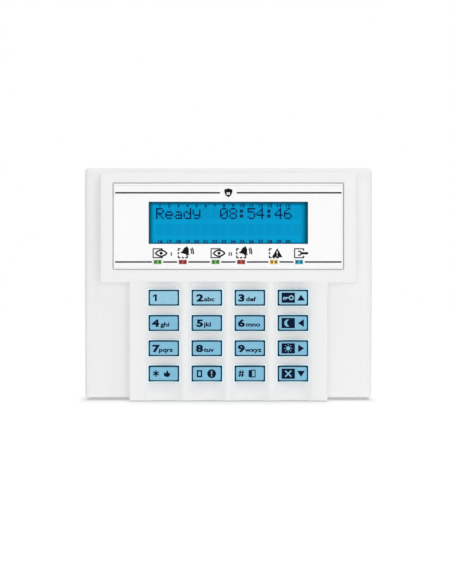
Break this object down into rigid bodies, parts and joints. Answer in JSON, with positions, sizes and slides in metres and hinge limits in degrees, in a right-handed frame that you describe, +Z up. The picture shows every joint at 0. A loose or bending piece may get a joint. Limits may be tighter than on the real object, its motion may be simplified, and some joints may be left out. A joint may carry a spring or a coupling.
{
  "type": "alarm keypad panel",
  "caption": "Wall-mounted alarm keypad: rear base, hinged white front, blue text display, status indicators and backlit push keys in fluted channels",
  "frame": {"origin": "on the wall plane, at the middle of the four wall screw holes in the base's back face", "axes": "+X to the right seen from the front, +Z up the wall, the front faces -Y; the wall is the plane y = 0"},
  "size_m": [0.113, 0.0235, 0.0905],
  "materials": {
    "white_shell": "fine satin moulded white plastic",
    "label_film": "printed polyester film, satin",
    "clear_window": "clear polished acrylic",
    "guide_acrylic": "milky diffusing acrylic",
    "led_green": "green chip LED",
    "led_red": "red chip LED",
    "led_yellow": "yellow chip LED",
    "led_blue": "light blue chip LED",
    "green_board": "green solder mask on glass-fibre board",
    "lcd_blue": "lit blue diffuser",
    "lcd_glass": "liquid crystal cell",
    "black_metal": "black lacquered sheet steel",
    "grey_rubber": "matt silicone rubber",
    "gold_pins": "gold plated",
    "nylon": "natural nylon",
    "steel_screw": "zinc plated steel",
    "black_plastic": "black moulded resin",
    "bright_can": "nickel plated can",
    "capacitor_can": "aluminium can on a dark foot",
    "green_terminal": "green moulded polyamide",
    "carbon": "carbon filled rubber",
    "key_caps": "translucent light blue, lit from behind"
  },
  "bodies": {
    "base": {"rear_base": "white_shell", "latch_tongues": "white_shell"},
    "front": {"front_cover": "white_shell", "display_label": "label_film", "display_window": "clear_window", "light_guides": "guide_acrylic", "green_leds": "led_green", "red_leds": "led_red", "yellow_leds": "led_yellow", "blue_leds": "led_blue", "lcd_board": "green_board", "lcd_backlight": "lcd_blue", "lcd_glass": "lcd_glass", "lcd_bezel": "black_metal", "lcd_strips": "grey_rubber", "lcd_pins": "gold_pins", "lcd_spacers": "nylon", "lcd_screws": "steel_screw", "main_board": "green_board", "board_screws": "steel_screw", "microcontroller": "black_plastic", "crystal": "bright_can", "voltage_regulator": "black_plastic", "capacitors": "capacitor_can", "resistors": "black_plastic", "buzzer": "black_plastic", "terminal_block": "green_terminal", "terminal_screws": "steel_screw", "terminal_clamps": "steel_screw", "service_pins": "gold_pins", "tamper_switch": "black_plastic", "keypad_mat": "grey_rubber", "carbon_pills": "carbon", "contact_pads": "gold_pins", "key_leds": "led_blue"},
    "tamper": {"tamper_plunger": "nylon"},
    "key_1": {"key_1": "key_caps"},
    "key_2": {"key_2": "key_caps"},
    "key_3": {"key_3": "key_caps"},
    "key_up": {"key_up": "key_caps"},
    "key_4": {"key_4": "key_caps"},
    "key_5": {"key_5": "key_caps"},
    "key_6": {"key_6": "key_caps"},
    "key_left": {"key_left": "key_caps"},
    "key_7": {"key_7": "key_caps"},
    "key_8": {"key_8": "key_caps"},
    "key_9": {"key_9": "key_caps"},
    "key_right": {"key_right": "key_caps"},
    "key_star": {"key_star": "key_caps"},
    "key_0": {"key_0": "key_caps"},
    "key_hash": {"key_hash": "key_caps"},
    "key_down": {"key_down": "key_caps"}
  },
  "joints": [
    {"name": "key_1_press", "type": "slide", "parent": "front", "child": "key_1", "axis": [0, 1, 0], "range_m": [0, 0.0012], "stiffness_N_per_m": 800, "deforming": ["keypad_mat", "carbon_pills"]},
    {"name": "key_2_press", "type": "slide", "parent": "front", "child": "key_2", "axis": [0, 1, 0], "range_m": [0, 0.0012], "stiffness_N_per_m": 800, "deforming": ["keypad_mat", "carbon_pills"]},
    {"name": "key_3_press", "type": "slide", "parent": "front", "child": "key_3", "axis": [0, 1, 0], "range_m": [0, 0.0012], "stiffness_N_per_m": 800, "deforming": ["keypad_mat", "carbon_pills"]},
    {"name": "key_up_press", "type": "slide", "parent": "front", "child": "key_up", "axis": [0, 1, 0], "range_m": [0, 0.0012], "stiffness_N_per_m": 800, "deforming": ["keypad_mat", "carbon_pills"]},
    {"name": "key_4_press", "type": "slide", "parent": "front", "child": "key_4", "axis": [0, 1, 0], "range_m": [0, 0.0012], "stiffness_N_per_m": 800, "deforming": ["keypad_mat", "carbon_pills"]},
    {"name": "key_5_press", "type": "slide", "parent": "front", "child": "key_5", "axis": [0, 1, 0], "range_m": [0, 0.0012], "stiffness_N_per_m": 800, "deforming": ["keypad_mat", "carbon_pills"]},
    {"name": "key_6_press", "type": "slide", "parent": "front", "child": "key_6", "axis": [0, 1, 0], "range_m": [0, 0.0012], "stiffness_N_per_m": 800, "deforming": ["keypad_mat", "carbon_pills"]},
    {"name": "key_left_press", "type": "slide", "parent": "front", "child": "key_left", "axis": [0, 1, 0], "range_m": [0, 0.0012], "stiffness_N_per_m": 800, "deforming": ["keypad_mat", "carbon_pills"]},
    {"name": "key_7_press", "type": "slide", "parent": "front", "child": "key_7", "axis": [0, 1, 0], "range_m": [0, 0.0012], "stiffness_N_per_m": 800, "deforming": ["keypad_mat", "carbon_pills"]},
    {"name": "key_8_press", "type": "slide", "parent": "front", "child": "key_8", "axis": [0, 1, 0], "range_m": [0, 0.0012], "stiffness_N_per_m": 800, "deforming": ["keypad_mat", "carbon_pills"]},
    {"name": "key_9_press", "type": "slide", "parent": "front", "child": "key_9", "axis": [0, 1, 0], "range_m": [0, 0.0012], "stiffness_N_per_m": 800, "deforming": ["keypad_mat", "carbon_pills"]},
    {"name": "key_right_press", "type": "slide", "parent": "front", "child": "key_right", "axis": [0, 1, 0], "range_m": [0, 0.0012], "stiffness_N_per_m": 800, "deforming": ["keypad_mat", "carbon_pills"]},
    {"name": "key_star_press", "type": "slide", "parent": "front", "child": "key_star", "axis": [0, 1, 0], "range_m": [0, 0.0012], "stiffness_N_per_m": 800, "deforming": ["keypad_mat", "carbon_pills"]},
    {"name": "key_0_press", "type": "slide", "parent": "front", "child": "key_0", "axis": [0, 1, 0], "range_m": [0, 0.0012], "stiffness_N_per_m": 800, "deforming": ["keypad_mat", "carbon_pills"]},
    {"name": "key_hash_press", "type": "slide", "parent": "front", "child": "key_hash", "axis": [0, 1, 0], "range_m": [0, 0.0012], "stiffness_N_per_m": 800, "deforming": ["keypad_mat", "carbon_pills"]},
    {"name": "key_down_press", "type": "slide", "parent": "front", "child": "key_down", "axis": [0, 1, 0], "range_m": [0, 0.0012], "stiffness_N_per_m": 800, "deforming": ["keypad_mat", "carbon_pills"]},
    {"name": "cover_open", "type": "hinge", "parent": "base", "child": "front", "pos_m": [0, -0.0068, 0.0437], "axis": [-1, 0, 0], "range_deg": [0, 25], "deforming": ["latch_tongues"]},
    {"name": "tamper_release", "type": "slide", "parent": "front", "child": "tamper", "axis": [0, 1, 0], "range_m": [0, 0.001]}
  ],
  "couplings": [
    {"joint": "tamper_release", "follows": "cover_open", "m_per_rad": 0.0022918}
  ]
}
